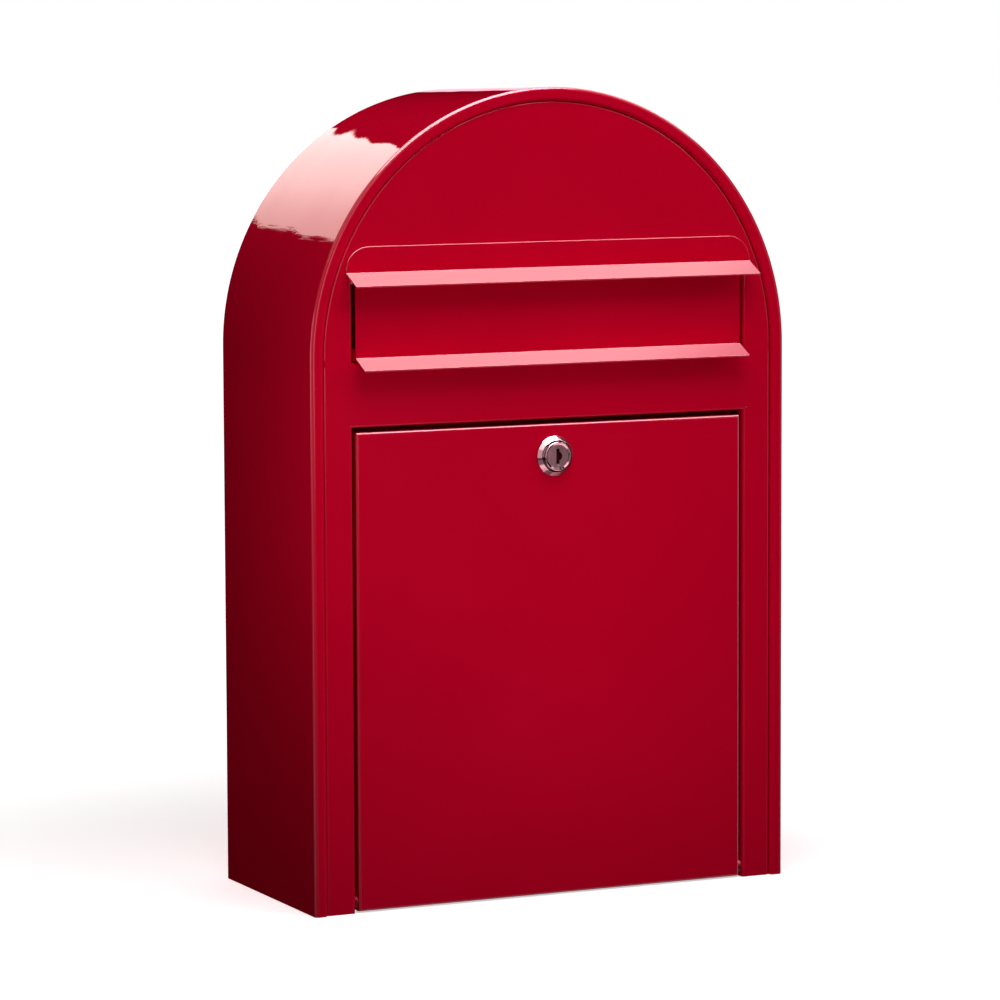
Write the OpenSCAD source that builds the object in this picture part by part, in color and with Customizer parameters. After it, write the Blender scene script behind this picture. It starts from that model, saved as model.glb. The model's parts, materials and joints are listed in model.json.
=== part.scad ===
// Wall letter box of folded sheet steel, with an arched top, a hinged slot flap under a
// hood and a drop-down door with a cam lock.
// Millimetres. +Z is up, the front looks along -Y, and the wall lies behind y = 0.
// The origin is the centre of the four wall holes, on the rear face of the back panel.
// Forward distances, named *_f, are measured from the wall. Heights, named *_h, are
// measured from the underside of the box.

/* [Body] */
// Width over the rim
body_w = 380; // [350:1:420]
// Height from the underside to the crown of the rim
body_h = 587; // [570:1:640]
// Depth from the wall to the front of the rim
body_d = 174; // [140:1:220]
// Thickness of every sheet
sheet_t = 1.2; // [1:0.1:1.5]
// How far each side leans in between the rim and the back
side_draft = 4.4; // [0:0.1:8]
// Outer radius of the bend round the back edge
back_bend_r = 2.5; // [2:0.1:4]
// Width of the flange that carries the back panel
back_flange = 14; // [10:1:20]
// Height of the upturned edge round the floor
floor_edge = 10; // [8:0.5:10.5]
// Diameter of the drain holes in the floor
drain_d = 6; // [4:0.5:8]

/* [Wall fixing] */
// Height of the middle of the wall holes above the underside
fixing_h = 270; // [250:5:280]
// Distance between the wall holes across the box
fixing_span_x = 240; // [200:5:260]
// Distance between the wall holes up the box
fixing_span_z = 300; // [240:5:310]
// Diameter of the wall holes
fixing_d = 8.5; // [6:0.5:10]

/* [Rim] */
// Width of the raised rim round the front
rim_w = 10; // [8:0.5:12]
// Outer radius of the two bends of the rim
rim_bend_r = 3; // [2.5:0.1:4]
// Depth of the rim's inner edge
rim_return = 9.5; // [8:0.5:10]

/* [Front plate] */
// How far the front plate lies behind the rim
plate_set = 2.5; // [1:0.1:4]
// Width of the plate beside the door and the slot
stile_w = 22.4; // [20:0.2:28]
// Height of the plate between the slot and the door
band_h = 45.8; // [38:0.2:50]
// Outer radius of each folded edge
fold_r = 2; // [1.7:0.1:2.2]
// Depth of each folded edge
fold_depth = 9; // [8.6:0.2:10]

/* [Door] */
// Gap beside the door and the flap
panel_gap = 3; // [2.5:0.1:3.5]
// Gap between the door and the ground
door_lift = 1; // [0.9:0.1:1.5]
// Gap above the door
door_top_gap = 3.9; // [3.5:0.1:5]
// Height of the door's hinge line
hinge_h = 7.4; // [7.3:0.1:8]
// Distance of the hinge line behind the door's face
hinge_in = 4.8; // [4.6:0.1:4.9]
// Diameter of the hinge pins
pin_d = 5; // [4:0.1:5.2]

/* [Slot] */
// Height of the bend of the flap's lip above the start of the arch
slot_rise = 0.6; // [-20:0.2:4]
// Height from the flap's bend to the hood's bend
slot_tall = 60.5; // [50:0.5:62]
// Length of the flap's lip
flap_lip = 17.5; // [12:0.5:20]
// Gap between the flap's bend and the slot's lower edge
slot_sill_gap = 3.4; // [2.5:0.1:5]
// Length of the hood's lip
hood_lip = 19.1; // [15:0.1:22]
// Slope of both lips below level
lip_angle = 27; // [20:1:35]
// How far the hood reaches past each end of the slot
hood_lap = 4.5; // [3.5:0.1:6]
// Height of the hood above its bend
hood_tall = 18.4; // [18:0.2:20]
// Radius of the hood's top corners
hood_corner_r = 17.5; // [8:0.5:17.5]
// Diameter of the rod that the flap hangs on
rod_d = 5; // [4:0.1:5.5]
// Length of the sloping part of the mail guide
guide_run = 60; // [30:5:80]
// Slope of the mail guide below level
guide_angle = 35; // [25:1:45]

/* [Lock] */
// Sideways place of the lock, from the middle of the door
lock_x = 2.3; // [-10:0.1:10]
// Distance of the lock below the door's top edge
lock_drop = 23.1; // [21:0.1:28]
// Diameter of the collar where it meets the door
collar_d = 29; // [26:0.5:34]
// Diameter of the collar's front edge
collar_top_d = 23.5; // [23:0.1:25]
// Height of the collar's cone
collar_out = 4.2; // [3:0.1:5]
// Height of the rounded ring in front of the cone
ring_out = 2.1; // [1.5:0.1:2.5]
// Diameter of the threaded barrel
barrel_d = 22; // [21:0.1:22.4]
// Distance across the barrel's flats
barrel_flats = 20; // [19:0.1:21]
// Length of the barrel behind the door's face
barrel_len = 18; // [12:0.5:18.5]
// Diameter of the turning plug
plug_d = 17; // [14:0.1:17.6]
// How far the plug's face lies behind the front of the ring
plug_set = 0.8; // [0.5:0.1:1.2]
// Width of the key slot
key_w = 2.5; // [2:0.1:3]
// Height of the key slot
key_h = 11.1; // [9:0.1:12]
// Reach of the cam from the lock's middle
cam_reach = 40; // [36:1:44]
// Width of the cam
cam_w = 16; // [14:0.5:18]
// Thickness of the cam
cam_t = 2.5; // [2:0.1:3]

/* [Fits] */
// Radial play of a pin or rod in its hole
turn_play = 0.05; // [0.02:0.01:0.1]
// Gap between sheets that are welded together side by side
weld_gap = 0.1; // [0:0.05:0.2]
// Gap between a moving piece and what stops it
stop_gap = 0.3; // [0.2:0.05:0.5]
// Thickness of the rubber stops
stop_t = 2; // [1.5:0.1:2.5]

/* [Hidden] */

paint = "#b0061f";
rubber = "#202022";
nylon = "#7d0a1a";
chrome = "#c9c4c2";
zinc = "#a9adb0";

// Overrun of a cutter, overlap inside one sheet, and rounding of small edges
cut = 1;
lap = 1;
edge_r = 0.5;
// Bends from this radius up are drawn with more steps
fine_r = 1.4;

half_w = body_w / 2;
arch_h = body_h - half_w;
back_half_w = half_w - side_draft;
plate_half_w = half_w - rim_w - weld_gap;
face_f = body_d - plate_set;
fold_end_f = face_f - fold_depth;
flat_in = fold_r + lap;
opening_half_w = plate_half_w - stile_w;
panel_half_w = opening_half_w - panel_gap;
flap_bend_h = arch_h + slot_rise;
hood_bend_h = flap_bend_h + slot_tall;
hood_top_h = hood_bend_h + hood_tall;
slot_low_h = flap_bend_h - slot_sill_gap;
slot_top_h = hood_bend_h - weld_gap;
opening_top_h = slot_low_h - band_h;
door_top_h = opening_top_h - door_top_gap;
lock_h = door_top_h - lock_drop;

corner_cut = back_bend_r;

// Places of the drain holes as shares of the width and of the depth
drain_x = 0.36 * body_w;
drain_f = [0.22 * body_d, 0.78 * body_d];

// The door drops until its lower edge meets the floor's upturned front edge.
hinge_f = face_f - hinge_in;
hinge_drop = hinge_h - door_lift;
floor_front_f = hinge_f - hinge_drop - stop_gap;
toe_reach = fold_depth - hinge_in;
toe_rise = hinge_drop - sqrt(max(0, pow(hinge_drop, 2) - pow(toe_reach, 2))) + stop_gap;
pin_head_t = 1.3;
side_play = 0.2;
bush_t = 1.5;

// The flap's top edge is curled round the rod, just under the slot's upper edge.
curl_r = rod_d / 2 + 2 * turn_play + sheet_t;
curl_gap = 0.7;
flap_axis_h = slot_top_h - curl_gap - curl_r;
flap_axis_f = face_f - curl_r;
rod_end = 3;
clip_t = 1;
clip_set = 0.1;

bumper_d = 8;
bumper_in = 1.5;
door_stop_f = fold_end_f - stop_gap - stop_t;
door_stop_tall = 14;
door_stop_h = door_top_h - 27;
sill_f = face_f - sheet_t - stop_gap - stop_t;
sill_rise = bumper_d + 2 * lap;
flap_bumper_x = 0.76 * opening_half_w;
flap_bumper_h = slot_low_h + sill_rise - bumper_d / 2 - edge_r;
guide_end_in = 2;

keeper_f = face_f - 20;
keeper_w = 50;
keeper_rise = 22;
cam_f = keeper_f - 0.4;
hole_play = 0.2;
washer_t = 1;
nut_t = 4;
nut_flats = 27;
nut_washer_d = 30;
tail_w = 8;
tail_len = cam_t - hole_play;
bolt_d = 5;
bolt_deep = 12;
bolt_spare = 2;
bolt_flats = 8;
bolt_head_t = 3.5;
cam_washer_d = 12;
collar_foot = 0.7;
collar_edge = 0.3;
ledge_w = 0.4;
groove_w = 0.8;
groove_deep = 0.9;
ring_edge = 0.8;
plug_out = collar_out + ring_out - plug_set;
key_deep = 8;
bulge_d = 7;
bulge_deep = 4;

// Vector helpers
function unit(v) = v / norm(v);
function left_of(v) = [-v[1], v[0]];
function heading(p, q) = unit(q - p);
function turn(p, q, s) = cross(q - p, s - q);
function steps(r) = r > fine_r ? 6 : 3;

// Points of the arc that rounds corner q, between the neighbours p and s.
function corner_arc(p, q, s, r) = r < 0.01 ? [q] :
    let (
        u = unit(p - q),
        v = unit(s - q),
        half = acos(u * v) / 2,
        centre = q + unit(u + v) * r / sin(half),
        first = q + u * r / tan(half) - centre,
        last = q + v * r / tan(half) - centre,
        a = atan2(first[1], first[0]),
        sweep = (atan2(last[1], last[0]) - a + 540) % 360 - 180,
        n = steps(r)
    )
    [for (i = [0 : n]) centre + r * [cos(a + sweep * i / n), sin(a + sweep * i / n)]];

function rounded(points, radii) =
    let (n = len(points))
    [for (i = [0 : n - 1])
        each corner_arc(points[(i + n - 1) % n], points[i], points[(i + 1) % n], radii[i])];

// The line one sheet thickness to the left of a line of points.
function beside(points, t) =
    let (last = len(points) - 1)
    [for (i = [0 : last])
        let (
            a = left_of(i > 0 ? heading(points[i - 1], points[i]) : heading(points[0], points[1])),
            b = left_of(i < last ? heading(points[i], points[i + 1])
                : heading(points[last - 1], points[last]))
        )
        points[i] + (a + b) * t / (1 + a * b)];

function backwards(list) = [for (i = [len(list) - 1 : -1 : 0]) list[i]];

// Section of a folded sheet. The points run along one face, the sheet lies to their left,
// bends holds the outer radius at each corner and tip rounds the two cut edges.
function sheet(points, bends, tip = 0) =
    let (
        last = len(points) - 1,
        face_r = [for (i = [0 : last]) i == 0 || i == last ? tip
            : turn(points[i - 1], points[i], points[i + 1]) > 0 ? bends[i - 1]
            : bends[i - 1] - sheet_t],
        back_r = [for (i = [0 : last]) i == 0 || i == last ? tip
            : turn(points[i - 1], points[i], points[i + 1]) > 0 ? bends[i - 1] - sheet_t
            : bends[i - 1]]
    )
    rounded(concat(points, backwards(beside(points, sheet_t))), concat(face_r, backwards(back_r)));

module on_base() {
    translate([0, 0, -fixing_h]) children();
}

// A front-view outline as a slab between two forward distances.
module slab(from_f, to_f) {
    translate([0, -from_f, 0]) rotate([90, 0, 0]) linear_extrude(to_f - from_f) children();
}

// A side-view outline, drawn with y to the right and z up, run along the box's width.
module across(half) {
    translate([-half, 0, 0]) rotate([90, 0, 90]) linear_extrude(2 * half) children();
}

// A section drawn as distance from the middle and forward distance, run up one side,
// round the arch and down the other side.
module round_arch() {
    translate([0, 0, arch_h]) rotate([90, 0, 0]) rotate_extrude(angle = 180, $fn = 180) children();
    for (side = [0, 1])
        mirror([side, 0, 0]) linear_extrude(arch_h) mirror([0, 1]) children();
}

module both_sides() {
    children();
    mirror([1, 0, 0]) children();
}

module arch_outline(half) {
    translate([0, arch_h]) circle(half, $fn = 180);
    translate([-half, 0]) square([2 * half, arch_h]);
}

// A block whose front edges are all rounded alike.
module soft_block(half, low_h, high_h, back_f, front_f, r) {
    intersection() {
        translate([0, 0, low_h]) linear_extrude(high_h - low_h)
            polygon(rounded([[-half, -back_f], [-half, -front_f], [half, -front_f],
                [half, -back_f]], [0, r, r, 0]));
        across(half)
            polygon(rounded([[-back_f, low_h], [-front_f, low_h], [-front_f, high_h],
                [-back_f, high_h]], [0, r, r, 0]));
    }
}

// A round piece on the lock's axis, its section drawn as radius and distance forward of
// the door's face.
module turned() {
    translate([lock_x, -face_f, lock_h]) rotate([90, 0, 0]) rotate_extrude($fn = 96) children();
}

module cross_pin(half_in, half_out, f, h, d) {
    translate([half_in, -f, h]) rotate([0, 90, 0]) cylinder(h = half_out - half_in, d = d, $fn = 48);
}

// Body

module body_wrap() {
    section = sheet(
        [[back_half_w - back_flange, sheet_t], [back_half_w, sheet_t], [half_w, body_d],
            [half_w - rim_w, body_d], [half_w - rim_w, body_d - rim_return]],
        [back_bend_r, rim_bend_r, rim_bend_r]);
    color(paint) on_base() round_arch() polygon(section);
}

module back_panel() {
    color(paint) {
        difference() {
            on_base() slab(0, sheet_t) arch_outline(back_half_w - back_bend_r);
            for (x = [-1, 1], z = [-1, 1])
                translate([x * fixing_span_x / 2, cut, z * fixing_span_z / 2]) rotate([90, 0, 0])
                    cylinder(h = sheet_t + 2 * cut, d = fixing_d, $fn = 48);
        }
    }
}

// Inner face of the leaning side at a forward distance.
function wall_in(f) = half_w - side_draft * (body_d - f) / (body_d - sheet_t) - sheet_t;

// The rear corners are cut off, clear of the bend between side and rear flange.
module floor_plan(inset, rear_f) {
    rear_x = wall_in(rear_f + corner_cut) - weld_gap - inset;
    front_x = wall_in(floor_front_f) - weld_gap - inset;
    polygon([
        [corner_cut - rear_x, -rear_f - inset],
        [rear_x - corner_cut, -rear_f - inset],
        [rear_x, -rear_f - corner_cut - inset],
        [front_x, -floor_front_f + inset],
        [-front_x, -floor_front_f + inset],
        [-rear_x, -rear_f - corner_cut - inset]]);
}

module floor_panel() {
    rear_f = 2 * sheet_t + weld_gap;
    color(paint) on_base() {
        difference() {
            intersection() {
                linear_extrude(floor_edge) floor_plan(0, rear_f);
                across(half_w)
                    polygon(rounded([[-rear_f, floor_edge], [-rear_f, 0], [-floor_front_f, 0],
                        [-floor_front_f, floor_edge]], [0, fold_r, fold_r, 0]));
            }
            translate([0, 0, sheet_t]) linear_extrude(floor_edge) floor_plan(sheet_t, rear_f);
            for (x = [-drain_x, drain_x], f = drain_f)
                translate([x, -f, -cut])
                    cylinder(h = sheet_t + 2 * cut, d = drain_d, $fn = 32);
        }
    }
}

// Front plate

// Section of a folded edge: x runs into the plate from the edge, y is forward distance.
module folded_edge() {
    polygon(sheet([[flat_in + lap, face_f], [0, face_f], [0, fold_end_f]], [fold_r]));
}

// Folded edges up both sides of an opening.
module upright_edges(low_h, high_h) {
    both_sides() translate([opening_half_w, 0, low_h]) linear_extrude(high_h - low_h)
        mirror([0, 1]) folded_edge();
}

// Folded edge along the top of an opening, or along its bottom.
module level_edge(h, below) {
    across(opening_half_w + fold_r) translate([0, h]) mirror([0, below ? 1 : 0])
        rotate(90) folded_edge();
}

module front_plate() {
    reach = opening_half_w + flat_in;
    color(paint) on_base() {
        difference() {
            union() {
                round_arch() translate([plate_half_w, 0]) mirror([1, 0]) folded_edge();
                slab(face_f - sheet_t, face_f) difference() {
                    arch_outline(plate_half_w - flat_in);
                    translate([-reach, -cut]) square([2 * reach, opening_top_h + flat_in + cut]);
                    translate([-reach, slot_low_h - flat_in])
                        square([2 * reach, slot_top_h - slot_low_h + 2 * flat_in]);
                }
                upright_edges(0, opening_top_h + fold_r);
                level_edge(opening_top_h, false);
                upright_edges(slot_low_h - fold_r, slot_top_h + fold_r);
                level_edge(slot_low_h, true);
                level_edge(slot_top_h, false);
            }
            both_sides() {
                cross_pin(opening_half_w - cut, opening_half_w + sheet_t + cut, flap_axis_f,
                    flap_axis_h, rod_d + 2 * turn_play);
                cross_pin(opening_half_w - cut, opening_half_w + sheet_t + cut, hinge_f,
                    hinge_h, pin_d + 2 * turn_play);
            }
        }
    }
}

// Side view of a sheet that hangs down its face and turns out into a sloping lip.
function lipped(front_f, top_h, bend_h, lip) = sheet(
    [[-front_f, top_h], [-front_f, bend_h],
        [-front_f - lip * cos(lip_angle), bend_h - lip * sin(lip_angle)]],
    [fold_r], edge_r);

// Cutter that rounds a square corner whose two faces are the axes.
function round_over() = concat(
    [[-edge_r, cut], [cut, cut], [cut, -edge_r]],
    [for (a = [0 : 30 : 90]) [edge_r * (cos(a) - 1), edge_r * (sin(a) - 1)]]);

module slot_hood() {
    half = opening_half_w + hood_lap;
    top_f = face_f + sheet_t;
    corner_h = hood_top_h - hood_corner_r;
    color(paint) on_base() {
        difference() {
            across(half) polygon(lipped(top_f, hood_top_h, hood_bend_h, hood_lip));
            both_sides() {
                slab(face_f - cut, top_f + cut) translate([half - hood_corner_r, corner_h])
                    difference() {
                        square(hood_corner_r + cut);
                        circle(hood_corner_r, $fn = 96);
                    }
                translate([half - hood_corner_r, 0, corner_h]) rotate([90, 0, 0])
                    rotate_extrude(angle = 90, $fn = 96) translate([hood_corner_r, top_f])
                    polygon(round_over());
            }
        }
    }
}

module mail_guide() {
    back_f = fold_end_f - lap;
    drop = [cos(guide_angle), -sin(guide_angle)] * guide_run;
    color(paint) on_base() across(opening_half_w - guide_end_in)
        polygon(sheet(
            [[-sill_f, slot_low_h + sill_rise], [-sill_f, slot_low_h], [-back_f, slot_low_h],
                [-back_f, slot_low_h] + drop],
            [fold_r, fold_r]));
}

module lock_keeper() {
    seat_h = opening_top_h + sheet_t;
    color(paint) on_base() translate([lock_x, 0, 0]) across(keeper_w / 2)
        polygon(sheet(
            [[-face_f + flat_in, seat_h], [-keeper_f, seat_h],
                [-keeper_f, seat_h + keeper_rise]],
            [fold_r]));
}

// Angle that the door's folded side closes against.
module door_stop() {
    x = opening_half_w + sheet_t;
    color(paint) on_base() translate([0, 0, door_stop_h]) linear_extrude(door_stop_tall)
        polygon(sheet(
            [[x - bumper_d - 2 * lap, -door_stop_f], [x, -door_stop_f], [x, -face_f + flat_in]],
            [fold_r]));
}

module door_stop_left() {
    mirror([1, 0, 0]) door_stop();
}

module door_stop_right() {
    door_stop();
}

// Round rubber pad that faces forward.
module bumper(x, rear_f, h) {
    color(rubber) on_base() translate([x, -rear_f, h]) rotate([90, 0, 0])
        rotate_extrude($fn = 48)
        polygon(rounded([[0, 0], [bumper_d / 2, 0], [bumper_d / 2, stop_t], [0, stop_t]],
            [0, 0, edge_r, 0]));
}

module door_bumper_left() {
    bumper(-panel_half_w + bumper_in, door_stop_f, door_stop_h + door_stop_tall / 2);
}

module door_bumper_right() {
    bumper(panel_half_w - bumper_in, door_stop_f, door_stop_h + door_stop_tall / 2);
}

module flap_bumper_left() {
    bumper(-flap_bumper_x, sill_f, flap_bumper_h);
}

module flap_bumper_right() {
    bumper(flap_bumper_x, sill_f, flap_bumper_h);
}

// Door hinge

// Headed pin through the door's side and the plate's side, closed at its outer end.
module hinge_pin() {
    head_d = pin_d + pin_head_t;
    inner = panel_half_w - sheet_t - side_play;
    outer = opening_half_w + sheet_t + side_play;
    color(zinc) on_base() {
        cross_pin(inner - pin_head_t, inner, hinge_f, hinge_h, head_d);
        cross_pin(inner - pin_head_t, outer + pin_head_t, hinge_f, hinge_h, pin_d);
        cross_pin(outer, outer + pin_head_t, hinge_f, hinge_h, head_d);
    }
}

module hinge_pin_left() {
    mirror([1, 0, 0]) hinge_pin();
}

module hinge_pin_right() {
    hinge_pin();
}

// Spacer ring between the door's side and the plate's side.
module hinge_bush() {
    color(nylon) on_base() difference() {
        cross_pin(panel_half_w + stop_gap / 2, opening_half_w - stop_gap / 2, hinge_f, hinge_h,
            pin_d + 2 * bush_t);
        cross_pin(panel_half_w - cut, opening_half_w + cut, hinge_f, hinge_h,
            pin_d + 2 * turn_play);
    }
}

module hinge_bush_left() {
    mirror([1, 0, 0]) hinge_bush();
}

module hinge_bush_right() {
    hinge_bush();
}

// Flap

module flap_rod() {
    end = opening_half_w + sheet_t + rod_end;
    color(zinc) on_base() cross_pin(-end, end, flap_axis_f, flap_axis_h, rod_d);
}

// Ring pressed on the rod beside the flap, which keeps both from sliding.
module rod_clip() {
    middle = (panel_half_w + opening_half_w) / 2;
    color(zinc) on_base() difference() {
        cross_pin(middle - clip_t / 2, middle + clip_t / 2, flap_axis_f, flap_axis_h,
            2 * (curl_r - clip_set));
        cross_pin(middle - cut, middle + cut, flap_axis_f, flap_axis_h, rod_d);
    }
}

module rod_clip_left() {
    mirror([1, 0, 0]) rod_clip();
}

module rod_clip_right() {
    rod_clip();
}

module flap() {
    color(paint) on_base() across(panel_half_w) difference() {
        union() {
            polygon(lipped(face_f, flap_axis_h - edge_r, flap_bend_h, flap_lip));
            translate([-flap_axis_f, flap_axis_h]) circle(curl_r, $fn = 48);
        }
        translate([-flap_axis_f, flap_axis_h]) circle(curl_r - sheet_t, $fn = 48);
    }
}

// Door

module barrel_hole(play) {
    translate([lock_x, lock_h]) intersection() {
        circle(d = barrel_d + 2 * play, $fn = 96);
        square([barrel_flats + 2 * play, barrel_d + 4 * play], center = true);
    }
}

module door() {
    toe_h = door_lift + toe_rise;
    color(paint) on_base() difference() {
        soft_block(panel_half_w, door_lift, door_top_h, fold_end_f, face_f, fold_r);
        soft_block(panel_half_w - sheet_t, door_lift + sheet_t, door_top_h - sheet_t,
            fold_end_f - cut, face_f - sheet_t, fold_r - sheet_t);
        across(half_w) polygon([
            [-hinge_f + lap, door_lift], [-fold_end_f, toe_h], [-fold_end_f + cut, toe_h],
            [-fold_end_f + cut, door_lift - cut], [-hinge_f + lap, door_lift - cut]]);
        slab(face_f - sheet_t - cut, face_f + cut) barrel_hole(hole_play);
        both_sides()
            cross_pin(panel_half_w - sheet_t - cut, panel_half_w + cut, hinge_f, hinge_h,
                pin_d + 2 * turn_play);
    }
}

// Lock

// Cone, groove and rounded ring are turned from one piece; the ring slopes in to the plug.
module lock_housing() {
    base_r = collar_d / 2;
    top_r = collar_top_d / 2;
    bore_r = plug_d / 2 + turn_play;
    groove_r = top_r - ledge_w;
    ring_r = groove_r - groove_w;
    front = collar_out + ring_out;
    color(chrome) on_base() difference() {
        turned() polygon(concat(
            [[bore_r, -barrel_len], [barrel_d / 2, -barrel_len], [barrel_d / 2, 0], [base_r, 0],
                [base_r, collar_foot], [top_r + collar_edge, collar_out - collar_edge],
                [top_r, collar_out], [groove_r, collar_out],
                [groove_r, collar_out - groove_deep], [ring_r, collar_out - groove_deep]],
            [for (a = [0 : 15 : 90])
                [ring_r - ring_edge * (1 - cos(a)), front - ring_edge * (1 - sin(a))]],
            [[bore_r, plug_out]]));
        for (side = [-1, 1])
            translate([lock_x + side * (barrel_flats + barrel_d) / 2, -face_f + barrel_len / 2,
                lock_h]) cube([barrel_d, barrel_len + 2 * cut, barrel_d + cut], center = true);
    }
}

module lock_washer() {
    color(zinc) on_base() slab(face_f - sheet_t - washer_t, face_f - sheet_t) difference() {
        translate([lock_x, lock_h]) circle(d = nut_washer_d, $fn = 96);
        barrel_hole(hole_play);
    }
}

module lock_nut() {
    front_f = face_f - sheet_t - washer_t;
    color(zinc) on_base() slab(front_f - nut_t, front_f) translate([lock_x, lock_h])
        difference() {
            circle(d = nut_flats / cos(30), $fn = 6);
            circle(d = barrel_d + 2 * turn_play, $fn = 96);
        }
}

module lock_plug() {
    rear = face_f - cam_f;
    color(chrome) on_base() difference() {
        union() {
            turned() polygon(rounded([[0, -rear], [plug_d / 2, -rear], [plug_d / 2, plug_out],
                [0, plug_out]], [0, edge_r, edge_r, 0]));
            translate([lock_x, -cam_f + tail_len / 2, lock_h])
                cube([tail_w, tail_len, tail_w], center = true);
        }
        slab(face_f + plug_out - key_deep, face_f + plug_out + cut) translate([lock_x, lock_h])
            square([key_w, key_h], center = true);
        slab(face_f + plug_out - bulge_deep, face_f + plug_out + cut)
            translate([lock_x, lock_h]) intersection() {
                circle(d = bulge_d, $fn = 64);
                translate([0, -bulge_d / 2]) square(bulge_d);
            }
        translate([lock_x, -cam_f + tail_len + cut, lock_h]) rotate([90, 0, 0])
            cylinder(h = tail_len + bolt_deep + cut, d = bolt_d, $fn = 32);
    }
}

module lock_cam() {
    color(zinc) on_base() slab(cam_f - cam_t, cam_f) translate([lock_x, lock_h]) difference() {
        union() {
            circle(d = cam_w, $fn = 48);
            translate([0, -cam_w / 2]) square([cam_reach - cam_w / 4, cam_w]);
            translate([cam_reach - cam_w / 2, 0]) intersection() {
                circle(d = cam_w, $fn = 48);
                translate([0, -cam_w / 2]) square([cam_w / 2, cam_w]);
            }
        }
        square(tail_w + 2 * turn_play, center = true);
    }
}

module cam_washer() {
    color(zinc) on_base() slab(cam_f - cam_t - washer_t, cam_f - cam_t)
        translate([lock_x, lock_h]) difference() {
            circle(d = cam_washer_d, $fn = 48);
            circle(d = bolt_d + 2 * hole_play, $fn = 48);
        }
}

module cam_bolt() {
    head_f = cam_f - cam_t - washer_t;
    color(zinc) on_base() {
        slab(head_f - bolt_head_t, head_f) translate([lock_x, lock_h])
            circle(d = bolt_flats / cos(30), $fn = 6);
        slab(head_f, cam_f + bolt_deep - bolt_spare) translate([lock_x, lock_h])
            circle(d = bolt_d - 2 * turn_play, $fn = 48);
    }
}

body_wrap();
back_panel();
floor_panel();
front_plate();
slot_hood();
mail_guide();
lock_keeper();
door_stop_left();
door_stop_right();
door_bumper_left();
door_bumper_right();
flap_bumper_left();
flap_bumper_right();
hinge_pin_left();
hinge_pin_right();
hinge_bush_left();
hinge_bush_right();
flap_rod();
rod_clip_left();
rod_clip_right();
flap();
door();
lock_housing();
lock_washer();
lock_nut();
lock_plug();
lock_cam();
cam_washer();
cam_bolt();
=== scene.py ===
# %% [markdown]
# # A red wall letter box
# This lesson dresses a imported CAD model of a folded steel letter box. The CAD nodes give
# every size; Blender adds finishes, lamps and a camera. The first lines load the model.

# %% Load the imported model
import json
import math

import bmesh
import bpy
from mathutils import Matrix, Vector


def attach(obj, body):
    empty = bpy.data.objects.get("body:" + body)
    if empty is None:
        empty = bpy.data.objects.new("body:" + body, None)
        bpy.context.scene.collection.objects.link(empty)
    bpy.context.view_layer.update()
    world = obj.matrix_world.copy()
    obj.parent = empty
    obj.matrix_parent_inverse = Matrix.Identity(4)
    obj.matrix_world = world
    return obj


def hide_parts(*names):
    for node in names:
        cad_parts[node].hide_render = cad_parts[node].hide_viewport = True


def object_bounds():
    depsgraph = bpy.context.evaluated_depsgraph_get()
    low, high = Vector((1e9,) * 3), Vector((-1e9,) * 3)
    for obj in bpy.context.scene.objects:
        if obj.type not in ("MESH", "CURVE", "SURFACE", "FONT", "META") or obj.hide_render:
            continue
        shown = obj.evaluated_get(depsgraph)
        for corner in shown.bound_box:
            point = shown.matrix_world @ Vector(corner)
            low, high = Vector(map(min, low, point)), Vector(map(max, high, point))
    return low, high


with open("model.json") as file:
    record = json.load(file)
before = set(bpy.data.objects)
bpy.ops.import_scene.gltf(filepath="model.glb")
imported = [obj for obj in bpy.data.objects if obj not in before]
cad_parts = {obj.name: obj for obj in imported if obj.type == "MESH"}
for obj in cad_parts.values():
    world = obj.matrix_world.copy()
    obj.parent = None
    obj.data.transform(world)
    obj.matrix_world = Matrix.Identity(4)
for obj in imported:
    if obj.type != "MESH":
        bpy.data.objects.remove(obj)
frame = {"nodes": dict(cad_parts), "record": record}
cad_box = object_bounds()
nodes = frame["nodes"]

# %% [markdown]
# ## The camera
# The photograph was taken from the front left and a little above, with a long lens. A fit
# to the outline gave the camera's place, its two angles and a small roll. A camera could be
# aimed with a Track To constraint, but a matrix made from three axes holds the roll as well.

# %% Camera
CAMERA_PLACE = Vector((-1.55438, -3.27433, 0.38857))
YAW, PITCH, ROLL = math.radians(25.99), math.radians(6.07), math.radians(-0.21)
FOCAL_PIXELS, PHOTO_PIXELS, SENSOR_MM = 4830.02, 1000, 36

aim = Vector((math.sin(YAW) * math.cos(PITCH), math.cos(YAW) * math.cos(PITCH), -math.sin(PITCH)))
level_right = Vector((math.cos(YAW), -math.sin(YAW), 0))
level_up = level_right.cross(aim)
right = level_right * math.cos(ROLL) + level_up * math.sin(ROLL)
up = level_up * math.cos(ROLL) - level_right * math.sin(ROLL)
turn = Matrix((right, up, -aim)).transposed().to_4x4()

camera_data = bpy.data.cameras.new("camera")
camera_data.sensor_width = SENSOR_MM
camera_data.lens = FOCAL_PIXELS / PHOTO_PIXELS * SENSOR_MM
camera_data.clip_end = 100
camera = bpy.data.objects.new("camera", camera_data)
camera.matrix_world = Matrix.Translation(CAMERA_PLACE) @ turn
bpy.context.scene.collection.objects.link(camera)
bpy.context.scene.camera = camera
bpy.context.scene.view_settings.view_transform = "Standard"
print("lens:", round(camera_data.lens, 2), "mm")

# %% [markdown]
# ## Helpers for node materials
# Every finish below is a node tree on a Principled shader. One helper starts a material and
# another adds a node with its values, so that each finish reads as a short list.

# %% Node helpers
def start_material(name):
    material = bpy.data.materials.new(name)
    material.use_nodes = True
    tree = material.node_tree
    shader = tree.nodes["Principled BSDF"]
    return material, tree, shader


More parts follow.
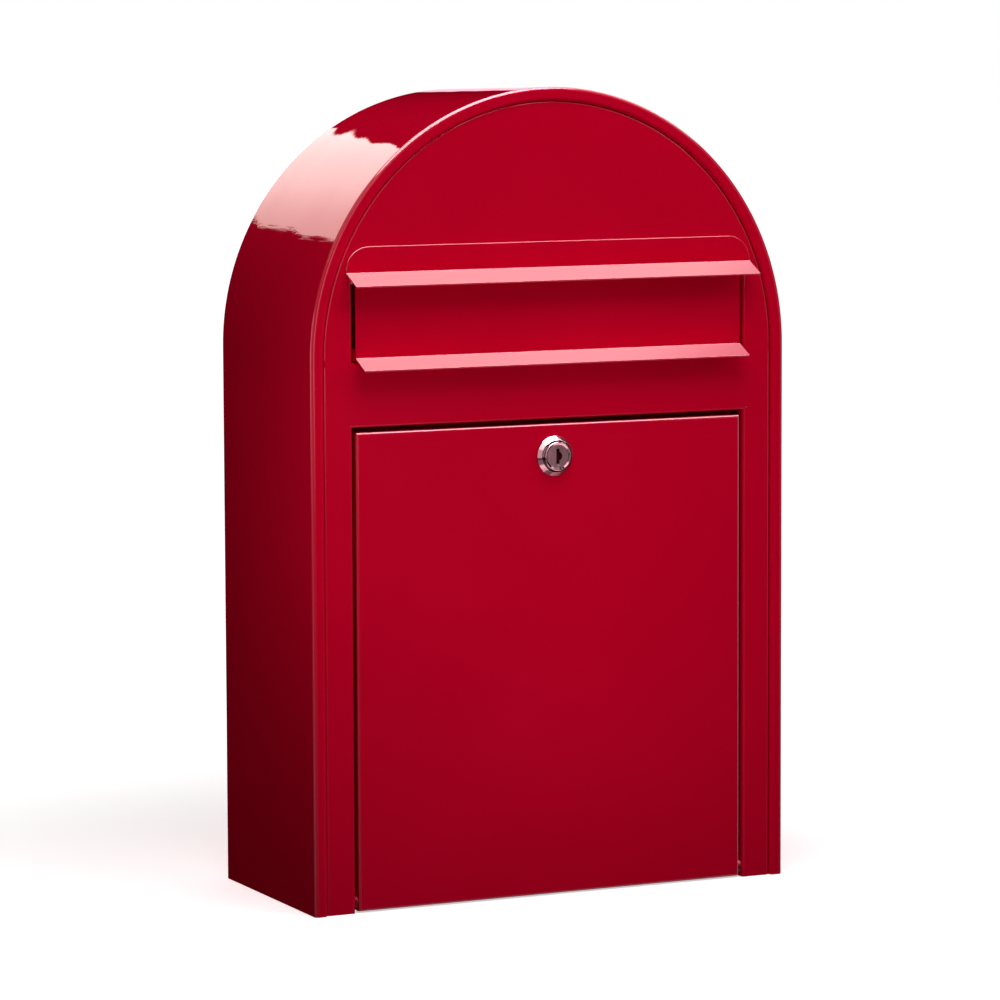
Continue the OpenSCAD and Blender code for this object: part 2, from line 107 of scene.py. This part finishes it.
def add_node(tree, kind, inputs=None, **values):
    node = tree.nodes.new(kind)
    for key, value in values.items():
        setattr(node, key, value)
    for key, value in (inputs or {}).items():
        if isinstance(value, bpy.types.NodeSocket):
            tree.links.new(value, node.inputs[key])
        else:
            node.inputs[key].default_value = value
    return node


def object_space(tree):
    return add_node(tree, "ShaderNodeTexCoord").outputs["Object"]


def noise(tree, place, scale, detail=2.0, roughness=0.5):
    return add_node(tree, "ShaderNodeTexNoise", {
        "Vector": place, "Scale": scale, "Detail": detail, "Roughness": roughness}).outputs["Fac"]


def between(tree, factor, low, high):
    return add_node(tree, "ShaderNodeMapRange", {
        "Value": factor, "From Min": 0.3, "From Max": 0.7, "To Min": low, "To Max": high,
    }).outputs["Result"]


def blend_colours(tree, factor, first, second):
    return add_node(tree, "ShaderNodeMix", {"Factor": factor, "A": first, "B": second},
                    data_type="RGBA").outputs["Result"]


def calculate(tree, operation, *values):
    return add_node(tree, "ShaderNodeMath", dict(enumerate(values)),
                    operation=operation).outputs["Value"]


def bump(tree, height, distance, under=None):
    inputs = {"Height": height, "Distance": distance, "Strength": 1.0}
    if under is not None:
        inputs["Normal"] = under
    return add_node(tree, "ShaderNodeBump", inputs).outputs["Normal"]

# %% [markdown]
# ## Where the coat has no gloss
# In gaps, on inner folds and inside the box the coat is left without gloss. The red sheets
# are kept out of mirror images further down, so a glossy inside would mirror the sky through
# the walls. Separate materials for front and inside faces would need each sheet cut up. A
# mask from the place on the sheet does it in one material: behind a given depth, or inside
# a given radius.

# %% Where the coat is dry
HALF_WIDTH, BACK_HALF_WIDTH, DEPTH, SHEET = 0.190, 0.1856, 0.174, 0.0012
ARCH_Z = cad_box[1][2] - HALF_WIDTH
FACE_Y = -0.1715
SILL_Z = 0.1242
LEAN = (HALF_WIDTH - BACK_HALF_WIDTH) / (DEPTH - SHEET)


def fade(tree, value, start, end):
    return add_node(tree, "ShaderNodeMapRange", {
        "Value": value, "From Min": start, "From Max": end, "To Min": 1.0, "To Max": 0.0,
    }).outputs["Result"]


def behind_door(tree, place):
    depth = add_node(tree, "ShaderNodeSeparateXYZ", {"Vector": place}).outputs["Y"]
    return fade(tree, depth, FACE_Y + 0.0006, FACE_Y + 0.0016)


def behind_plate(tree, place):
    parts = add_node(tree, "ShaderNodeSeparateXYZ", {"Vector": place}).outputs
    gap = fade(tree, parts["Y"], FACE_Y + 0.0001, FACE_Y + 0.0005)
    from_sill = calculate(tree, "ABSOLUTE", calculate(tree, "SUBTRACT", parts["Z"], SILL_Z))
    near = fade(tree, from_sill, 0.0030, 0.0020)
    return calculate(tree, "MULTIPLY", gap, near)


def inside_body(tree, place):
    parts = add_node(tree, "ShaderNodeSeparateXYZ", {"Vector": place}).outputs
    rise = calculate(tree, "MAXIMUM", calculate(tree, "SUBTRACT", parts["Z"], ARCH_Z), 0.0)
    flat = add_node(tree, "ShaderNodeCombineXYZ", {"X": parts["X"], "Y": rise})
    radius = add_node(tree, "ShaderNodeVectorMath", {0: flat.outputs["Vector"]},
                      operation="LENGTH").outputs["Value"]
    lip = fade(tree, radius, 0.1838, 0.1822)
    outside = calculate(tree, "MULTIPLY_ADD", parts["Y"], -LEAN, HALF_WIDTH - LEAN * DEPTH)
    deep = fade(tree, calculate(tree, "SUBTRACT", outside, radius), 0.0005, 0.0008)
    front = fade(tree, parts["Y"], -0.1722, -0.1728)
    wall = calculate(tree, "MULTIPLY_ADD", calculate(tree, "SUBTRACT", deep, 1.0), front, 1.0)
    return calculate(tree, "MULTIPLY", lip, wall)


def inside_back(tree, place):
    depth = add_node(tree, "ShaderNodeSeparateXYZ", {"Vector": place}).outputs["Y"]
    return fade(tree, depth, -0.0003, -0.0008)


# %% [markdown]
# ## Gloss red powder coat
# The coat on the real box is a deep red with a wet gloss. Powder melts into a skin with a
# faint orange peel, which breaks up reflections a little. A flat colour with a low roughness
# would look like plastic film, so a fine noise tilts the surface and a slow one shifts the
# colour and the gloss by a few per cent. The rolled body also gets a long, slow swelling.

# %% Powder coat
FULL_GLOSS = 0.5


def powder_coat(name, dry_part=None, swelling=0.0, gloss_range=(0.02, 0.04)):
    material, tree, shader = start_material(name)
    place = object_space(tree)
    clouds = noise(tree, place, 9.0, 3.0)
    tint = blend_colours(tree, between(tree, clouds, 0.0, 1.0),
                         (0.455, 0.0003, 0.0160, 1), (0.480, 0.0006, 0.0180, 1))
    tree.links.new(tint, shader.inputs["Base Color"])
    tree.links.new(between(tree, clouds, *gloss_range), shader.inputs["Roughness"])
    peel = bump(tree, noise(tree, place, 260.0, 1.5), 0.000004)
    if swelling:
        long = add_node(tree, "ShaderNodeMapping", {"Vector": place, "Scale": (5, 16, 5)})
        peel = bump(tree, noise(tree, long.outputs["Vector"], 1.0, 1.0), swelling, under=peel)
    tree.links.new(peel, shader.inputs["Normal"])
    shader.inputs["IOR"].default_value = 1.5
    if dry_part:
        gloss = calculate(tree, "MULTIPLY", dry_part(tree, place), FULL_GLOSS)
        tree.links.new(gloss, shader.inputs["Specular IOR Level"])
    return material


coat = powder_coat("red_powder_coat")
door_coat = powder_coat("red_coat_of_door", behind_door)
plate_coat = powder_coat("red_coat_of_plate", behind_plate)
rim_coat = powder_coat("red_coat_of_body", inside_body, 0.0003, (0.004, 0.014))
back_coat = powder_coat("red_coat_of_back", inside_back)
inner_coat = powder_coat("red_coat_inside")
inner_coat.node_tree.nodes["Principled BSDF"].inputs["Specular IOR Level"].default_value = 0.0
print("coats:", [c.name for c in (coat, door_coat, plate_coat, rim_coat, back_coat, inner_coat)])

# %% [markdown]
# ## Chrome, nickel and zinc
# The lock's collar is polished chrome, its plug a brushed nickel face, and the small parts
# inside are bright zinc. Metals differ by roughness more than by colour, so each gets its own
# roughness pattern. Chrome and nickel are written somewhat darker than the clean metals, as
# they look in the photograph. The rod and its clips deep in the slot are painted dark as shade.

# %% Metals
def metal(name, dark, light, rough_low, rough_high, scale, stretch=(1, 1, 1), scratch=0.0):
    material, tree, shader = start_material(name)
    place = add_node(tree, "ShaderNodeMapping", {"Vector": object_space(tree), "Scale": stretch})
    grain = noise(tree, place.outputs["Vector"], scale, 4.0, 0.6)
    tree.links.new(blend_colours(tree, between(tree, grain, 0, 1), dark, light),
                   shader.inputs["Base Color"])
    tree.links.new(between(tree, grain, rough_low, rough_high), shader.inputs["Roughness"])
    if scratch:
        tree.links.new(bump(tree, grain, scratch), shader.inputs["Normal"])
    shader.inputs["Metallic"].default_value = 1.0
    return material


chrome = metal("polished_chrome", (0.28, 0.31, 0.30, 1), (0.36, 0.40, 0.39, 1), 0.07, 0.11, 60.0)
nickel = metal("brushed_nickel", (0.32, 0.36, 0.345, 1), (0.40, 0.445, 0.425, 1), 0.38, 0.50,
               900.0, (1, 1, 0.08), 0.00001)
# painted shade: the rod and clips sit in the dark slot under the hood, so their zinc is made dark
shaded_zinc = metal("zinc_with_painted_shade", (0.10, 0.09, 0.09, 1), (0.16, 0.14, 0.14, 1), 0.5, 0.65, 120.0,
                 scratch=0.00002)
zinc = metal("bright_zinc", (0.48, 0.49, 0.50, 1), (0.66, 0.67, 0.67, 1), 0.25, 0.42, 120.0,
             scratch=0.00002)
print("metals:", [m.name for m in (chrome, nickel, shaded_zinc, zinc)])

# %% [markdown]
# ## Rubber and nylon
# The pads are matt rubber and the spacers dark red nylon. Neither is a metal, so both show
# a colour of their own and only a weak, broad shine.

# %% Rubber and nylon
def dull(name, dark, light, rough_low, rough_high, scale, depth):
    material, tree, shader = start_material(name)
    grain = noise(tree, object_space(tree), scale, 3.0)
    tree.links.new(blend_colours(tree, between(tree, grain, 0, 1), dark, light),
                   shader.inputs["Base Color"])
    tree.links.new(between(tree, grain, rough_low, rough_high), shader.inputs["Roughness"])
    tree.links.new(bump(tree, grain, depth), shader.inputs["Normal"])
    shader.inputs["Specular IOR Level"].default_value = 0.15
    return material


rubber = dull("black_rubber", (0.012, 0.012, 0.013, 1), (0.026, 0.026, 0.027, 1), 0.7, 0.85,
              700.0, 0.00003)
nylon = dull("red_nylon", (0.10, 0.002, 0.006, 1), (0.14, 0.003, 0.009, 1), 0.42, 0.55,
             500.0, 0.00001)
print("plastics:", rubber.name, nylon.name)

# %% [markdown]
# ## The key slot
# The slot in the plug is deep, and its walls belong to the plug's own mesh. Painted shade
# darkens the nickel by depth in the slot: in front of the door's face, but behind the plug's
# front.

# %% Key slot
PLUG_FRONT_Y = FACE_Y - 0.0055
SLOT_START, SLOT_DARK = PLUG_FRONT_Y + 0.0004, PLUG_FRONT_Y + 0.0009


def shade_key_slot(material):
    tree = material.node_tree
    shader = tree.nodes["Principled BSDF"]
    depth = add_node(tree, "ShaderNodeSeparateXYZ", {"Vector": object_space(tree)}).outputs["Y"]
    # painted shade: deeper in the key slot the nickel is blended towards a dark brown-red
    in_slot = add_node(tree, "ShaderNodeMapRange", {
        "Value": depth, "From Min": SLOT_START, "From Max": SLOT_DARK,
        "To Min": 0.0, "To Max": 1.0}).outputs["Result"]
    in_front = calculate(tree, "LESS_THAN", depth, FACE_Y)
    dark = calculate(tree, "MULTIPLY", in_slot, in_front)
    plain = shader.inputs["Base Color"].links[0].from_socket
    tree.links.new(blend_colours(tree, dark, plain, (0.10, 0.02, 0.03, 1)),
                   shader.inputs["Base Color"])


shade_key_slot(nickel)
print("slot shaded behind y:", round(SLOT_START, 5))

# %% [markdown]
# ## A finish for every node
# The record names a finish for each CAD node. The nodes keep their own meshes and only their
# material slots change, so that any node without a dressed copy still looks right.

# %% Hand out the finishes
FINISHES = {
    "red_paint": coat, "chrome_plate": chrome, "brushed_plug": nickel,
    "zinc_plate": zinc, "black_rubber": rubber, "red_nylon": nylon,
}
for part in frame["record"]["subparts"]:
    node = nodes[part["node"]]
    node.data.materials.clear()
    node.data.materials.append(FINISHES[part["material_slot"]])
print("finishes:", sorted(FINISHES))

# %% [markdown]
# ## Rounded sheet edges
# A laser-cut sheet has square edges, but paint pulls them round, and each rounded edge
# catches a thin bright line. The CAD sheets are square at their cuts. Bevelling a copy of
# each one is the shortest way: the copy is merged, flat triangles are joined into whole
# faces, and only the square edges get a small bevel. Weighted normals keep flats flat.

# %% Bevel a copy of a CAD node
def body_of(name):
    return next(body for body, members in frame["record"]["behaviour"]["bodies"].items()
                if name in members)


def finish_piece(shape, name, stands_for, finish, material=None):
    mesh = bpy.data.meshes.new(name)
    for face in shape.faces:
        face.smooth = True
    shape.to_mesh(mesh)
    shape.free()
    mesh.materials.append(material or FINISHES[finish])
    piece = bpy.data.objects.new(name, mesh)
    bpy.context.scene.collection.objects.link(piece)
    flats = piece.modifiers.new("flats", "WEIGHTED_NORMAL")
    flats.weight = 100
    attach(piece, body_of(stands_for))
    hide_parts(stands_for)
    return piece


def round_off(shape, corners, width, steps=3, kind="EDGES"):
    bmesh.ops.bevel(shape, geom=corners, offset=width, offset_type="OFFSET", segments=steps,
                    profile=0.5, affect=kind, clamp_overlap=True, material=-1)


def rounded_copy(node, name, width, sharp=35.0, material=None):
    shape = bmesh.new()
    shape.from_mesh(nodes[node].data)
    bmesh.ops.remove_doubles(shape, verts=shape.verts, dist=2e-6)
    bmesh.ops.dissolve_limit(shape, angle_limit=math.radians(0.4), verts=shape.verts,
                             edges=shape.edges)
    square = [e for e in shape.edges
              if len(e.link_faces) == 2 and e.calc_face_angle() > math.radians(sharp)]
    round_off(shape, square, width)
    slots = {part["node"]: part["material_slot"] for part in frame["record"]["subparts"]}
    piece = finish_piece(shape, name, node, slots[node], material)
    print(name, "faces:", len(piece.data.polygons), "rounded edges:", len(square))
    return piece


hood = rounded_copy("slot_hood", "hood_sheet", 0.00060)
flap = rounded_copy("flap", "flap_sheet", 0.00045, material=door_coat)
rounded_copy("door", "door_sheet", 0.00040, material=door_coat)
plate = rounded_copy("front_plate", "front_sheet", 0.00040, material=plate_coat)
rounded_copy("lock_plug", "plug_metal", 0.00020)

# %% [markdown]
# ## The rest of the sheets and the small parts
# The back, the floor, the guide behind the slot, the stops and the keeper are sheets too, and
# the rod, clips, nut, washers, cam and bolt are turned or stamped. They show when the door is
# open. Each gets the same treatment, with a bevel that suits its thickness.

# %% Bevel the inner parts
INNER_SHEETS = {"back_panel": back_coat, "floor_panel": inner_coat, "mail_guide": inner_coat,
                "lock_keeper": inner_coat, "door_stop_left": inner_coat,
                "door_stop_right": inner_coat}
METAL_EDGE, THIN_EDGE, RUBBER_EDGE = 0.0003, 0.00015, 0.0005
SMALL_PARTS = {
    "lock_nut": METAL_EDGE, "lock_cam": METAL_EDGE, "cam_bolt": METAL_EDGE,
    "lock_washer": THIN_EDGE, "cam_washer": THIN_EDGE, "flap_rod": METAL_EDGE,
    "rod_clip_left": THIN_EDGE, "rod_clip_right": THIN_EDGE,
    "hinge_pin_left": METAL_EDGE, "hinge_pin_right": METAL_EDGE,
    "hinge_bush_left": METAL_EDGE, "hinge_bush_right": METAL_EDGE,
    "door_bumper_left": RUBBER_EDGE, "door_bumper_right": RUBBER_EDGE,
    "flap_bumper_left": RUBBER_EDGE, "flap_bumper_right": RUBBER_EDGE}
inner_pieces = [rounded_copy(node, node + "_sheet", METAL_EDGE, material=paint)
                for node, paint in INNER_SHEETS.items()]
# the rod and its clips get the zinc with painted shade
small_pieces = [
    rounded_copy(node, node + "_rounded", width,
                 material=shaded_zinc if node.startswith(("flap_rod", "rod_clip")) else None)
    for node, width in SMALL_PARTS.items()]
print("inner pieces:", len(inner_pieces), "small pieces:", len(small_pieces))

# %% [markdown]
# ## The wrapped body
# Sides, arch and rim are one sheet, rolled over a former. Its section is the same all the way
# round, so a line of a few points is rounded at its corners, spun through half a turn for the
# arch, drawn down for the legs and given its thickness. A spun shape has even faces, so the
# sky's reflection runs over it without facets.

# %% Spin the body
RIM_WIDTH, RIM_RETURN, RIM_BEND = 0.010, 0.0095, 0.0030
BACK_FLANGE, BACK_BEND = 0.014, 0.0025
BASE_Z = cad_box[0][2]
KEEP_IN, BODY_EDGE = 0.000005, 0.0004
BEND_STEPS, ARCH_STEPS = 8, 120


def wrapped_body():
    shape = bmesh.new()
    corners = [(HALF_WIDTH - RIM_WIDTH, -DEPTH + RIM_RETURN), (HALF_WIDTH - RIM_WIDTH, -DEPTH),
               (HALF_WIDTH, -DEPTH), (BACK_HALF_WIDTH, -SHEET),
               (BACK_HALF_WIDTH - BACK_FLANGE, -SHEET)]
    line = [shape.verts.new((x - KEEP_IN, y, ARCH_Z)) for x, y in corners]
    for a, b in zip(line, line[1:]):
        shape.edges.new((a, b))
    round_off(shape, line[1:3], RIM_BEND, BEND_STEPS, "VERTICES")
    shape.verts.ensure_lookup_table()
    back = [v for v in shape.verts if abs(v.co.x - BACK_HALF_WIDTH + KEEP_IN) < 1e-6]
    round_off(shape, back, BACK_BEND, BEND_STEPS, "VERTICES")
    legs_start = list(shape.edges)
    spun = bmesh.ops.spin(shape, geom=list(shape.verts) + list(shape.edges),
                          cent=(0, 0, ARCH_Z), axis=(0, -1, 0), angle=math.pi, steps=ARCH_STEPS)
    ends = [legs_start, [g for g in spun["geom_last"] if isinstance(g, bmesh.types.BMEdge)]]
    for end in ends:
        drawn = bmesh.ops.extrude_edge_only(shape, edges=end)["geom"]
        bmesh.ops.translate(shape, verts=[g for g in drawn if isinstance(g, bmesh.types.BMVert)],
                            vec=(0, 0, BASE_Z + KEEP_IN - ARCH_Z))
    bmesh.ops.remove_doubles(shape, verts=shape.verts, dist=1e-6)
    bmesh.ops.recalc_face_normals(shape, faces=shape.faces)
    return shape


body_shape = wrapped_body()
side_face = max(body_shape.faces, key=lambda f: f.calc_center_median().x)
facing_out = side_face.normal.x > 0
bmesh.ops.solidify(body_shape, geom=list(body_shape.faces),
                   thickness=SHEET if facing_out else -SHEET)
rims = [e for e in body_shape.edges
        if len(e.link_faces) == 2 and e.calc_face_angle() > math.radians(60)]
round_off(body_shape, rims, BODY_EDGE)
body = finish_piece(body_shape, "body_sheet", "body_wrap", "red_paint", rim_coat)
print("body faces:", len(body.data.polygons), "outward:", facing_out)

# %% [markdown]
# ## Floor and surroundings
# A product photograph like this one stands on white. The floor is pale and keeps the box's
# soft shadow. For the camera a little white is added to it, which grows with distance, so
# that floor and background run together.

# %% Floor
FLOOR_Z, FLOOR_HALF = BASE_Z - 0.0002, 20.0


def floor_paint():
    material, tree, shader = start_material("pale_floor")
    shader.inputs["Base Color"].default_value = (0.8, 0.8, 0.8, 1)
    shader.inputs["Roughness"].default_value = 0.9
    shader.inputs["Specular IOR Level"].default_value = 0.0
    distance = add_node(tree, "ShaderNodeVectorMath", {0: object_space(tree)}, operation="LENGTH")
    far = add_node(tree, "ShaderNodeMapRange", {
        "Value": distance.outputs["Value"], "From Min": 0.3, "From Max": 0.9,
        "To Min": 0.5, "To Max": 1.0}, interpolation_type="SMOOTHSTEP")
    seen = add_node(tree, "ShaderNodeLightPath").outputs["Is Camera Ray"]
    added = calculate(tree, "MULTIPLY", far.outputs["Result"], seen)
    shader.inputs["Emission Color"].default_value = (1, 1, 1, 1)
    tree.links.new(added, shader.inputs["Emission Strength"])
    return material


floor_mesh = bpy.data.meshes.new("floor")
shape = bmesh.new()
bmesh.ops.create_grid(shape, x_segments=1, y_segments=1, size=FLOOR_HALF)
bmesh.ops.translate(shape, verts=shape.verts, vec=(0, 0, FLOOR_Z))
shape.to_mesh(floor_mesh)
shape.free()
floor_mesh.materials.append(floor_paint())
floor = bpy.data.objects.new("floor", floor_mesh)
floor.visible_glossy = False
floor.visible_diffuse = False
bpy.context.scene.collection.objects.link(floor)
print("floor at z:", round(FLOOR_Z, 5))

# %% [markdown]
# ## What the gloss mirrors
# Gloss paint shows its surroundings. On the real box the arch and both lips mirror a bright
# sky that ends in a ragged line of trees, and the flat faces mirror dark ground. Cards and
# tents could be built for it, but the world can hold the same picture and takes no room. The
# picture is drawn from the direction alone: its height gives the sky, its bearing the dark
# parts. The first cell splits the direction into those two and makes three small helpers.

# %% World helpers
world = bpy.data.worlds.new("studio")
bpy.context.scene.world = world
world.use_nodes = True
tree = world.node_tree


def maths(operation, *values):
    return calculate(tree, operation, *values)


def ramp(value, low, high, start, end):
    return add_node(tree, "ShaderNodeMapRange", {
        "Value": value, "From Min": low, "From Max": high, "To Min": start, "To Max": end,
    }, interpolation_type="SMOOTHSTEP").outputs["Result"]


direction = add_node(tree, "ShaderNodeTexCoord").outputs["Generated"]
parts = add_node(tree, "ShaderNodeSeparateXYZ", {"Vector": direction}).outputs
bearing = maths("ARCTAN2", parts["X"], parts["Y"])
height = parts["Z"]
print("world parts:", [socket.name for socket in parts])

# %% [markdown]
# ## Trees and sky
# The bright patch on the arch ends below in a ragged line of trees, and above in a straight
# edge that slopes with the bearing. Both edges are drawn here, then the sky's level between
# them. A band overhead gives the thin bright line along the rim's upper bend.

# %% Sky
trees = noise(tree, direction, 300.0, 4.0, 0.7)
ridge = noise(tree, direction, 6.0, 2.0)
near_bearing = maths("MINIMUM", maths("MAXIMUM", bearing, -0.6), -0.15)
skyline = maths("MULTIPLY_ADD", near_bearing, 0.35, 0.331)
skyline = maths("MULTIPLY_ADD", trees, 0.030, skyline)
skyline = maths("MULTIPLY_ADD", ridge, 0.028, skyline)
house = ramp(bearing, -1.2, -1.5, 0.0, 0.30)
skyline = maths("ADD", skyline, house)
over_line = maths("SUBTRACT", height, skyline)
above = ramp(over_line, -0.002, 0.002, 0.0, 1.0)
slope = maths("MULTIPLY_ADD", height, 2.2, bearing)
slope = maths("MULTIPLY_ADD", trees, 0.002, slope)
wood = maths("MULTIPLY", ramp(slope, 0.935, 0.941, 1.0, 0.0),
             ramp(bearing, 0.19, 0.20, 1.0, 0.0))
wood = maths("MAXIMUM", wood, ramp(height, 0.45, 0.50, 0.0, 1.0))
above = maths("MULTIPLY", above, wood)
rear = ramp(parts["Y"], -0.30, -0.12, 0.0, 1.0)
top = ramp(height, 0.83, 0.86, 0.0, 1.0)
above = maths("MULTIPLY", above, maths("MAXIMUM", rear, top))
sky = maths("ADD", ramp(bearing, -0.26, -0.04, 2.0, 2.95), ramp(height, 0.40, 0.60, 0.0, 0.45))
haze = maths("MULTIPLY", ramp(bearing, -0.33, -0.40, 0.0, 0.92),
             ramp(bearing, -1.5, -1.3, 0.0, 1.0))
sky = maths("MULTIPLY", sky, maths("SUBTRACT", 1.0, haze))
cloud = maths("MULTIPLY", ramp(bearing, 0.79, 0.83, 0.0, 0.5),
              ramp(height, 0.725, 0.74, 0.0, 1.0))
sky = maths("MULTIPLY", sky, maths("SUBTRACT", 1.0, cloud))
sky = maths("MULTIPLY_ADD", top, 12.0, sky)
print("sky drawn from", len(tree.nodes), "nodes")

# %% [markdown]
# ## What stands on the ground
# Below the skyline the surroundings are dark, with a few paler upright patches. Each patch is
# a window between two bearings. They give the side, the rim and the collar their faint
# bands. Light from straight below fills the lower half of the collar's ring; it is kept to
# steep directions, because faces seen from above would otherwise turn pale.

# %% Ground
def window(first, last):
    opens = ramp(bearing, first - 0.04, first + 0.04, 0.0, 1.0)
    shuts = ramp(bearing, last - 0.04, last + 0.04, 1.0, 0.0)
    return maths("MULTIPLY", opens, shuts)


low_light = ramp(height, -0.115, -0.075, 0.15, 1.5)
left_rear = window(-1.30, -0.68)
left_front = window(-3.02, -2.55)
right_rear = window(0.50, 1.30)
ground = maths("MULTIPLY", maths("ADD", left_rear, left_front), low_light)
ground = maths("MULTIPLY_ADD", right_rear, 0.6, ground)
right_front = maths("MULTIPLY", window(1.88, 2.42), ramp(height, -0.16, -0.09, 0.1, 0.45))
ground = maths("ADD", ground, right_front)
strips = maths("ADD", window(2.87, 3.02), window(2.36, 2.53))
ground = maths("MULTIPLY_ADD", strips, 0.25, ground)
paper = maths("MULTIPLY", window(0.30, 0.64), ramp(height, 0.093, 0.106, 1.0, 0.0))
ground = maths("MULTIPLY_ADD", paper, 0.8, ground)
ground = maths("MULTIPLY_ADD", window(-2.55, -1.30), 0.20, ground)
ground = maths("MULTIPLY_ADD", window(-1.85, -1.40), 0.50, ground)
ground = maths("MULTIPLY", ground, ramp(height, -0.22, -0.17, 0.0, 1.0))
low_front = maths("MULTIPLY", ramp(height, -0.22, -0.40, 0.0, 0.25),
                  ramp(parts["Y"], -0.1, 0.1, 1.0, 0.52))
ground = maths("ADD", ground, low_front)
steep = maths("MULTIPLY", ramp(height, -0.62, -0.76, 0.0, 1.0),
              ramp(height, -0.955, -0.975, 1.0, 0.0))
steep = maths("MULTIPLY", steep, ramp(parts["Y"], -0.1, 0.1, 1.0, 0.1))
ground = maths("MULTIPLY_ADD", steep, 1.05, ground)
sky = maths("MULTIPLY", above, sky)
ground = maths("MULTIPLY", maths("SUBTRACT", 1.0, above), ground)
print("ground added, nodes:", len(tree.nodes))

# %% [markdown]
# ## Which ray sees what
# Light Path tells rays apart. Mirror rays get the drawn picture, the camera gets white, and
# scattered light gets a low even level that is a little higher behind the box.

# %% Rays and colour
paths = add_node(tree, "ShaderNodeLightPath").outputs
mirror_ray = maths("MAXIMUM", paths["Is Glossy Ray"], paths["Is Transmission Ray"])
even = ramp(parts["Y"], 0.2, 0.6, 0.09, 0.25)
scattered = maths("MULTIPLY", maths("SUBTRACT", 1.0, mirror_ray), even)
scattered = maths("MULTIPLY", scattered, maths("SUBTRACT", 1.0, paths["Is Camera Ray"]))
plain = maths("ADD", scattered, paths["Is Camera Ray"])


def tinted(strength, colour):
    value = add_node(tree, "ShaderNodeCombineXYZ", {"X": strength, "Y": strength, "Z": strength})
    return add_node(tree, "ShaderNodeVectorMath", {0: value.outputs["Vector"], 1: colour},
                    operation="MULTIPLY").outputs["Vector"]


def total(first, second):
    return add_node(tree, "ShaderNodeVectorMath", {0: first, 1: second},
                    operation="ADD").outputs["Vector"]


high = ramp(height, 0.35, 0.75, 0.0, 1.0)
sky_colour = total((1.2, 1.0, 0.95), tinted(high, (0.35, 0.0, 0.13)))
sky_colour = total(sky_colour, tinted(ramp(bearing, -0.26, -0.04, 0.3, 0.0), (1.0, 0.0, 0.0)))
sky_colour = total(sky_colour, tinted(cloud, (1.2, 0.0, 0.25)))
sky_light = add_node(tree, "ShaderNodeVectorMath", {0: tinted(sky, (1, 1, 1)), 1: sky_colour},
                     operation="MULTIPLY").outputs["Vector"]
mirrored = total(sky_light, tinted(ground, (2.4, 1.0, 1.2)))
mirrored = add_node(tree, "ShaderNodeVectorMath", {
    0: mirrored, 1: tinted(mirror_ray, (1, 1, 1))}, operation="MULTIPLY").outputs["Vector"]
backdrop = tree.nodes["Background"]
tree.links.new(total(mirrored, tinted(plain, (1, 1, 1))), backdrop.inputs["Color"])
print("world nodes:", len(tree.nodes))

# %% [markdown]
# ## Sheets out of the mirror
# The lips in the photograph mirror clear sky that the front plate would cover. The simplest
# way is to hide the red sheets from mirror rays. The door stays visible, so that the chromed
# collar on it mirrors red, and so do the lock's own parts.

# %% Hide sheets from mirror rays
hidden = [hood, flap, plate, body] + inner_pieces
hidden += [piece for piece in small_pieces if not piece.name.startswith(("lock_", "cam_"))]
hidden += [nodes[name] for name in nodes if not name.startswith(("lock_", "cam_"))]
for red in hidden:
    red.visible_glossy = False
print("kept out of mirror images:", len(hidden))

# %% [markdown]
# ## A card for the lock
# The chromed collar mirrors the door and the red band above it. The band belongs to the
# front sheet, which is kept out of mirror images, so a red card stands in for it there. Only
# mirror rays see the card, and no ray from the lips reaches it.

# %% Red card
CARD_HALF_WIDTH, CARD_HALF_HEIGHT = 0.155, 0.020
CARD_PLACE = (0, FACE_Y + 0.0003, 0.0985)
card_mesh = bpy.data.meshes.new("band_card")
shape = bmesh.new()
bmesh.ops.create_grid(shape, x_segments=1, y_segments=1, size=1.0)
bmesh.ops.rotate(shape, verts=shape.verts, matrix=Matrix.Rotation(math.radians(90), 3, "X"))
bmesh.ops.scale(shape, verts=shape.verts, vec=(CARD_HALF_WIDTH, 1.0, CARD_HALF_HEIGHT))
bmesh.ops.translate(shape, verts=shape.verts, vec=CARD_PLACE)
shape.to_mesh(card_mesh)
shape.free()
card_mesh.materials.append(coat)
card = bpy.data.objects.new("band_card", card_mesh)
card.visible_camera = False
card.visible_diffuse = False
card.visible_shadow = False
bpy.context.scene.collection.objects.link(card)
print("card:", card.name)

# %% [markdown]
# ## Lamps
# The photograph's brightness was measured at about a hundred points of the front, the side,
# the crown, the lips and their shadows, and five soft lamps were set to match it. One stands
# above and in front, one lights the front from low down, one the left side, one the right, and
# one the crown of the arch from above. They light the coat but aren't mirrored in it; what the
# coat mirrors is the world's picture.

# %% Lamps
def soft_lamp(name, place, target, width, height, level):
    data = bpy.data.lights.new(name, "AREA")
    data.shape = "RECTANGLE"
    data.size, data.size_y = width, height
    data.energy = level * math.pi * width * height
    lamp = bpy.data.objects.new(name, data)
    toward = (Vector(target) - Vector(place)).to_track_quat("-Z", "Y")
    lamp.matrix_world = Matrix.Translation(place) @ toward.to_matrix().to_4x4()
    lamp.visible_camera = False
    lamp.visible_glossy = False
    bpy.context.scene.collection.objects.link(lamp)
    return lamp


MIDDLE = (0, 0, 0)
lamps = [
    soft_lamp("key_lamp", (-0.06, -0.54, 0.78), MIDDLE, 0.7, 0.5, 4.2),
    soft_lamp("low_lamp", (0.01, -0.51, -0.07), MIDDLE, 0.3, 0.3, 2.3),
    soft_lamp("left_lamp", (-0.36, -0.23, 0.06), MIDDLE, 0.3, 0.3, 1.15),
    soft_lamp("crown_lamp", (-0.10, 0.10, 0.85), (0, -0.05, 0.3), 0.4, 0.3, 7.5),
    soft_lamp("right_lamp", (0.85, -0.68, 0.55), MIDDLE, 0.5, 0.5, 4.02)]
print("lamps:", [lamp.name for lamp in lamps])
